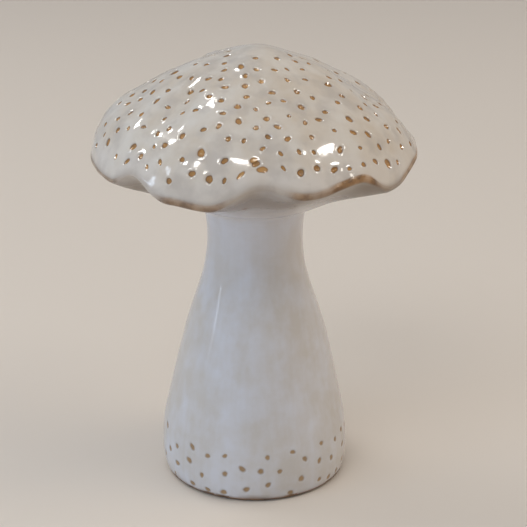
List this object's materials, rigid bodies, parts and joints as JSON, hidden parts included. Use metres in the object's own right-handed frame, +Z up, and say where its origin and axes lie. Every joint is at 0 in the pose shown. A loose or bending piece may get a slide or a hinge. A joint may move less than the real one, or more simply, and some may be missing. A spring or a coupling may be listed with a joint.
{
  "type": "mushroom ornament",
  "caption": "Free-standing glazed stoneware mushroom: a hollow tapering stem on a flat foot ring carries a hollow domed cap with a wavy lip and poked dots.",
  "frame": {"origin": "centre of the foot, on the surface that the ornament stands on", "axes": "+Z up through the cap's apex, -Y towards the viewer of the picture, +X to that viewer's right"},
  "size_m": [0.0988, 0.0981, 0.137],
  "materials": {
    "cap_glaze": "glossy warm white glaze over stoneware, brown at the lip and in its dots",
    "stem_glaze": "glossy white glaze over stoneware, bare brown clay at the foot",
    "joint_slip": "fired slip under the edge of the glaze"
  },
  "bodies": {
    "root": {"cap": "cap_glaze", "stem": "stem_glaze", "neck_slip": "joint_slip"}
  },
  "joints": []
}
